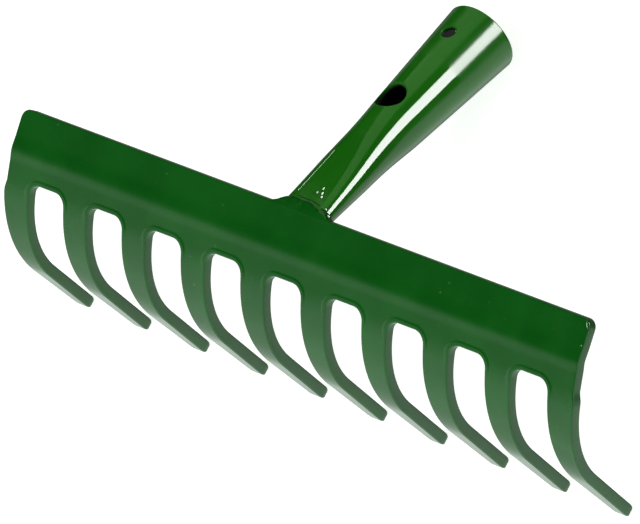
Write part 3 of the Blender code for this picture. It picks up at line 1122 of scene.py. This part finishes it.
for piece in makeWelds():
    print(piece.name + ":", len(piece.data.polygons), "faces")


# Floor and lights

floorLook = {
    "size": 6.0,
    "height": -0.0001,
    "colour": (0.55, 0.56, 0.55),
    "roughness": 0.9,
    "gloss": 0.1,
    "glow": 0.80,
}


def makeFloor(look):
    half = look["size"] / 2
    corners = [(-half, -half), (half, -half), (half, half), (-half, half)]
    mesh = bpy.data.meshes.new("floor")
    mesh.from_pydata([(x, y, look["height"]) for x, y in corners], [], [(0, 1, 2, 3)])
    floor = addPiece("floor", mesh)
    material = bpy.data.materials.new("floorPaper")
    material.use_nodes = True
    shader = material.node_tree.nodes["Principled BSDF"]
    shader.inputs["Base Color"].default_value = (*look["colour"], 1.0)
    shader.inputs["Roughness"].default_value = look["roughness"]
    shader.inputs["Specular IOR Level"].default_value = look["gloss"]
    shader.inputs["Emission Color"].default_value = (1.0, 1.0, 1.0, 1.0)
    shader.inputs["Emission Strength"].default_value = look["glow"]
    mesh.materials.append(material)
    floor.visible_glossy = False
    floor.visible_diffuse = False


# The room that the enamel mirrors: white in front and below, dim behind, dark above
# Pairs are the ends of soft steps along x, y or z of a direction

room = {
    "front": (1.0, 1.10, 1.03),
    "sweep": 1.08,
    "frontDark": (0.35, 0.86),
    # dip in the white below the horizon, on the left
    "frontDip": 0.27,
    "dipStart": (0.08, 0.50),
    "dipEnd": (0.64, 0.78),
    "dipLoss": 0.6,
    "dipRight": (-0.2, 0.2),
    # shade straight below, on the left
    "leftShade": 0.60,
    "shadeLeft": (-0.14, 0.28),
    "shadeBelow": (0.90, 0.95),
    "frontRight": 0.08,
    "rightRange": (-0.1, 0.5),
    # pale ground behind
    "lowLeft": 0.20,
    "lowBelow": (0.15, 0.45),
    "lowRight": (-0.5, -0.2),
    "deepBelow": (0.52, 0.74),
    # lit wall behind, with a slanting edge
    "rear": (0.58, 1.15, 0.46),
    "rearSlant": 0.573,
    "rearEdge": (-0.822, -0.800),
    "rearLeft": (-0.86, -0.70),
    "rearRight": (0.10, 0.28),
    "rearFoot": (-0.1, 0.05),
    # where front changes to rear
    "turnRange": (0.03, 0.19),
    "turnSlant": 0.15,
    "turnShift": 0.18,
    "turnLeft": (0.2, 0.5),
    "seen": (1.0, 1.0, 1.0, 1.0),
}


def makeWorld():
    world = bpy.data.worlds.new("studio")
    bpy.context.scene.world = world
    world.use_nodes = True
    graph = Graph(world.node_tree)
    x, y, z = graph.split(graph.node("ShaderNodeTexCoord", output=0))
    down = 0 - z

    def step(value, name):
        return graph.ramp(value, *room[name])

    dip = (step(down, "dipStart") * (1 - step(down, "dipEnd") * room["dipLoss"]) * (1 - step(x, "dipRight"))
           * room["frontDip"])
    shade = step(0 - x, "shadeLeft") * step(down, "shadeBelow") * room["leftShade"]
    right = 1 + step(x, "rightRange") * room["frontRight"]
    front = (1 - step(z, "frontDark")) * (1 - dip) * (1 - shade) * right * room["sweep"]
    low = graph.maths("MAXIMUM", step(down, "lowBelow") * (1 - step(x, "lowRight")),
                      step(down, "deepBelow")) * room["lowLeft"]
    lit = (step(x - z * room["rearSlant"], "rearEdge") * step(x, "rearLeft")
           * (1 - step(x, "rearRight")) * step(z, "rearFoot"))
    toRear = step(y - x * room["turnSlant"] + step(0 - x, "turnLeft") * room["turnShift"], "turnRange")
    parts = {part: front * room["front"][part] * (1 - toRear) + toRear * (low + lit * room["rear"][part])
             for part in range(3)}
    level = graph.node("ShaderNodeCombineColor", None, parts)
    background = world.node_tree.nodes["Background"]
    world.node_tree.links.new(level.socket, background.inputs["Color"])
    # the camera itself sees plain white
    reflected = Wire(graph, background.outputs[0])
    pale = graph.node("ShaderNodeBackground", None, {"Color": room["seen"]})
    toCamera = graph.node("ShaderNodeLightPath")
    mix = graph.node("ShaderNodeMixShader", None, {0: toCamera, 1: reflected, 2: pale})
    world.node_tree.links.new(mix.socket, world.node_tree.nodes["World Output"].inputs["Surface"])


# Mirrored lights only show in the enamel, the others only light it; all are aimed at one point

lights = {
    "overhead": {"direction": (0.1, 0.0, 1.0), "distance": 2.6, "size": (2.4, 2.4), "power": 24.0,
                 "side": (1, 0, 0), "mirrored": False},
    "front": {"direction": (0.0, -0.85, 0.45), "distance": 2.6, "size": (2.4, 1.6), "power": 30.0,
              "side": (1, 0, 0), "mirrored": False},
    "window": {"direction": (0.7255, 0.6780, 0.1180), "distance": 2.4, "size": (1.24, 0.8), "power": 84.0,
               "side": (0.5514, -0.4794, -0.6825), "mirrored": True},
}
lightsAim = (0, 0, 0.04)


def areaLight(name, look):
    data = bpy.data.lights.new(name, "AREA")
    data.shape = "RECTANGLE"
    data.size, data.size_y = look["size"]
    data.energy = look["power"]
    light = bpy.data.objects.new(name, data)
    toLight = Vector(look["direction"]).normalized()
    side = Vector(look["side"])
    side = (side - toLight * side.dot(toLight)).normalized()
    turn = Matrix((side, toLight.cross(side), toLight)).transposed()
    light.location = toLight * look["distance"] + Vector(lightsAim)
    light.rotation_euler = turn.to_euler()
    light.visible_glossy = look["mirrored"]
    light.visible_diffuse = not look["mirrored"]
    light.visible_camera = False
    bpy.context.scene.collection.objects.link(light)


makeFloor(floorLook)
makeWorld()
for name, look in lights.items():
    areaLight(name, look)
print("stage set")
